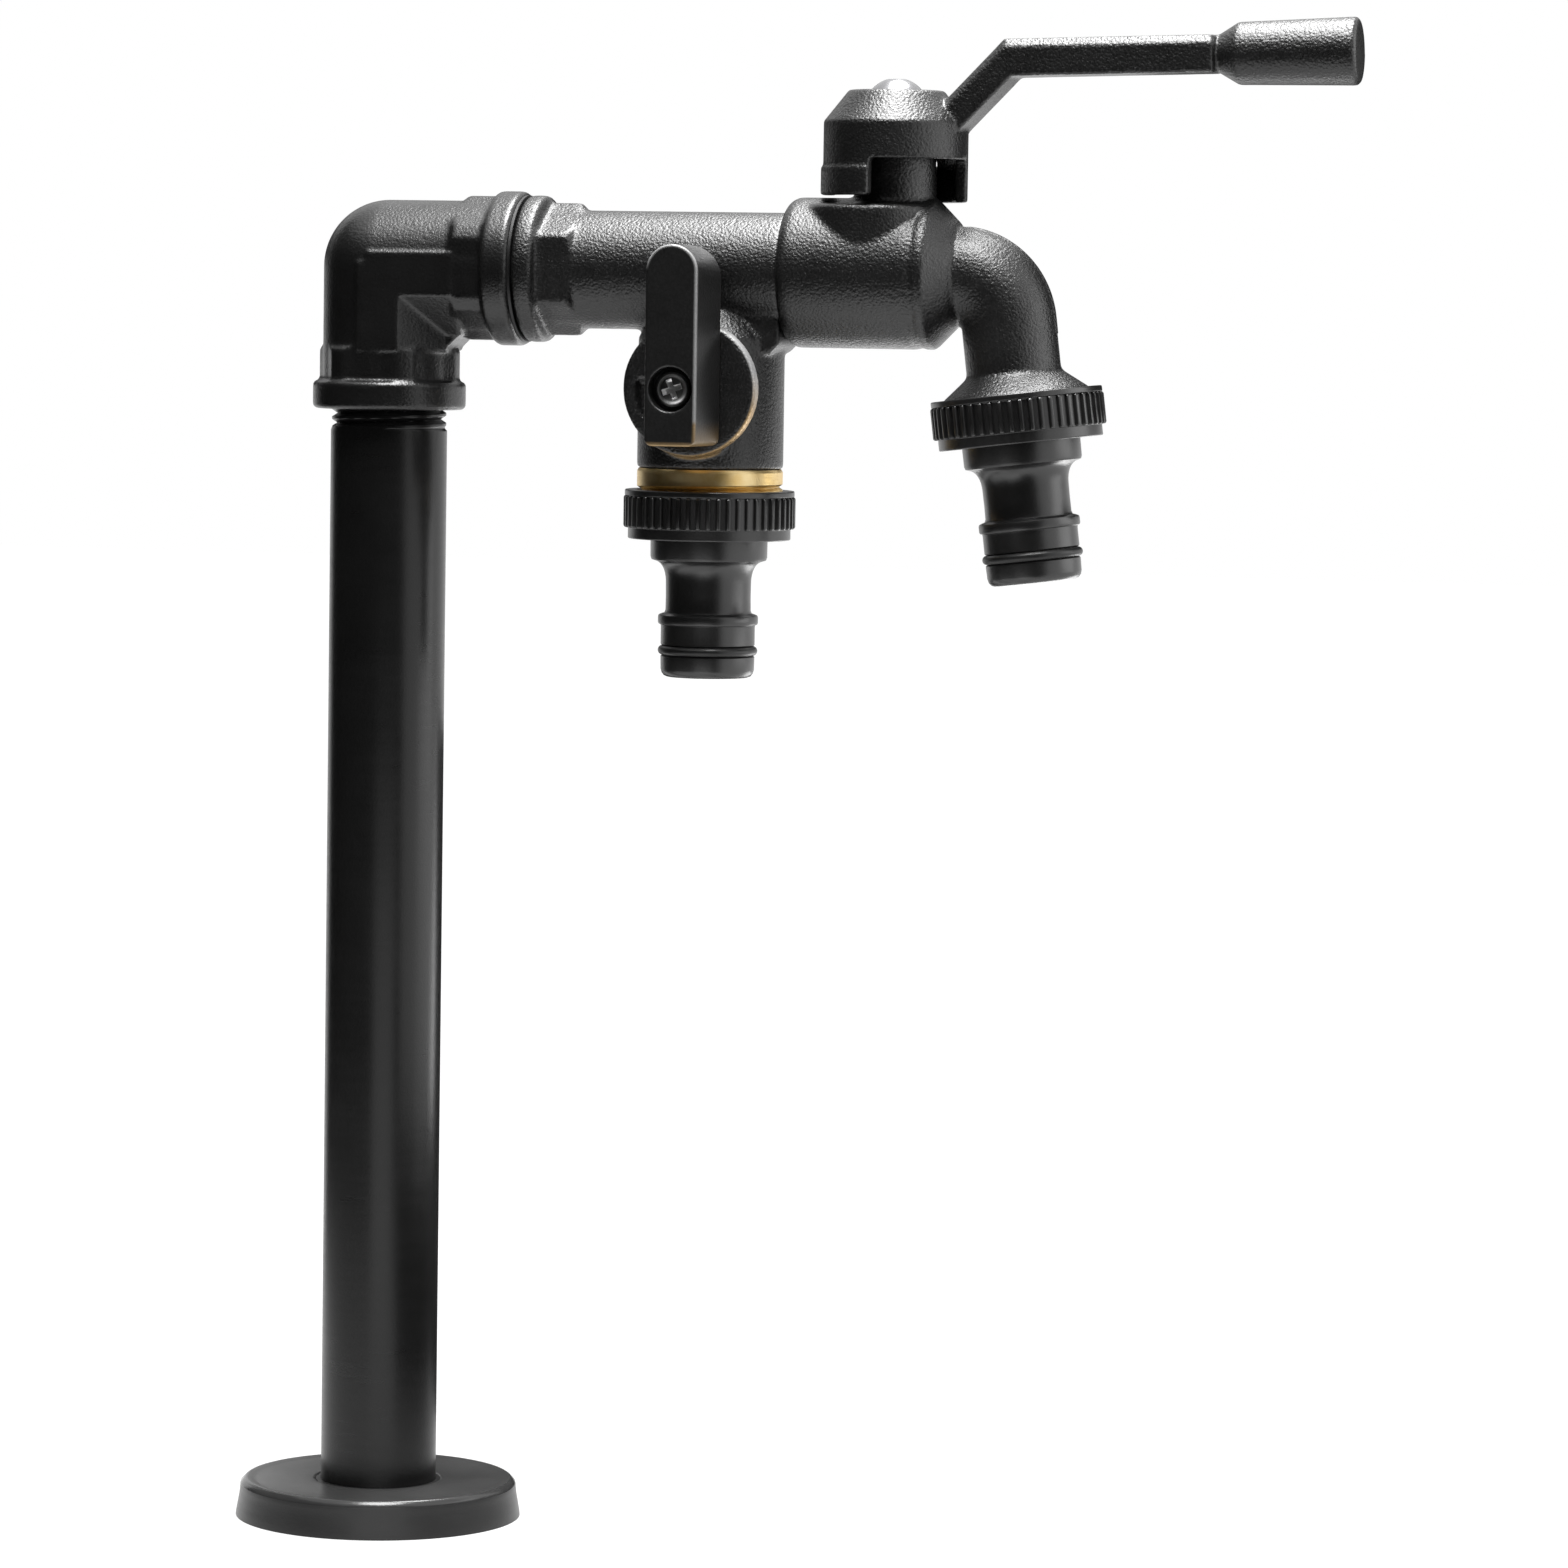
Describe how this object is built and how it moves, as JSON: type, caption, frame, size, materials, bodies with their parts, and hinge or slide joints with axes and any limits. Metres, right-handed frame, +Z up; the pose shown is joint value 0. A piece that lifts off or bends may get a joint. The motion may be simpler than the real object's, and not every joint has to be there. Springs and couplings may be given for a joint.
{
  "type": "garden standpipe",
  "caption": "Short black garden standpipe with a round foot, a lever ball tap with a curved spout, a side branch with its own lever valve, and push-on hose nipples.",
  "frame": {"origin": "on the riser's axis at the floor, which is the mouth of the supply inlet", "axes": "+Z up along the riser, +X along the tap to its spout, -Y towards the side lever"},
  "size_m": [0.2047, 0.0553, 0.2773],
  "materials": {
    "satin_black": "satin black powder coat on steel",
    "smooth_black_casting": "smooth semi-gloss black coat on a casting",
    "grained_black_casting": "fine-grained black coat on a rough casting",
    "lever_black": "matt black coat",
    "black_plastic": "moulded semi-matt black plastic",
    "black_rubber": "black rubber",
    "bare_brass": "bare turned brass",
    "polished_steel": "polished",
    "zinc_steel": "zinc plated",
    "white_seal": "white low-friction plastic"
  },
  "bodies": {
    "standpipe": {"base_flange": "zinc_steel", "riser_pipe": "satin_black", "elbow": "smooth_black_casting", "inlet_seal": "black_rubber", "inlet_body": "grained_black_casting", "body_ring": "black_rubber", "spout_body": "grained_black_casting", "main_seat_inlet": "white_seal", "main_seat_outlet": "white_seal", "main_thrust_washer": "white_seal", "stem_packing": "white_seal", "gland_nut": "bare_brass", "branch_outlet": "bare_brass", "branch_seat_upper": "white_seal", "branch_seat_lower": "white_seal", "branch_thrust_washer": "white_seal", "front_hose_nut": "black_plastic", "front_hose_washer": "black_rubber", "front_hose_nipple": "black_plastic", "front_hose_ring": "black_rubber", "branch_hose_nut": "black_plastic", "branch_hose_washer": "black_rubber", "branch_hose_nipple": "black_plastic", "branch_hose_ring": "black_rubber"},
    "foot_cover": {"base_cover": "satin_black", "cover_ring": "black_rubber"},
    "main_valve": {"main_handle": "grained_black_casting", "handle_screw": "polished_steel", "main_stem": "bare_brass", "main_stem_rings": "black_rubber", "main_ball": "polished_steel"},
    "side_valve": {"branch_lever": "lever_black", "lever_screw": "polished_steel", "branch_stem": "bare_brass", "branch_stem_rings": "black_rubber", "branch_ball": "polished_steel"}
  },
  "joints": [
    {"name": "cover_slide", "type": "slide", "parent": "standpipe", "child": "foot_cover", "axis": [0, 0, 1], "range_m": [0, 0.19]},
    {"name": "main_valve_turn", "type": "hinge", "parent": "standpipe", "child": "main_valve", "pos_m": [0.0946, 0, 0.231], "axis": [0, 0, 1], "range_deg": [-90, 0]},
    {"name": "side_valve_turn", "type": "hinge", "parent": "standpipe", "child": "side_valve", "pos_m": [0.061, 0, 0.21], "axis": [0, 1, 0], "range_deg": [0, 90]}
  ]
}
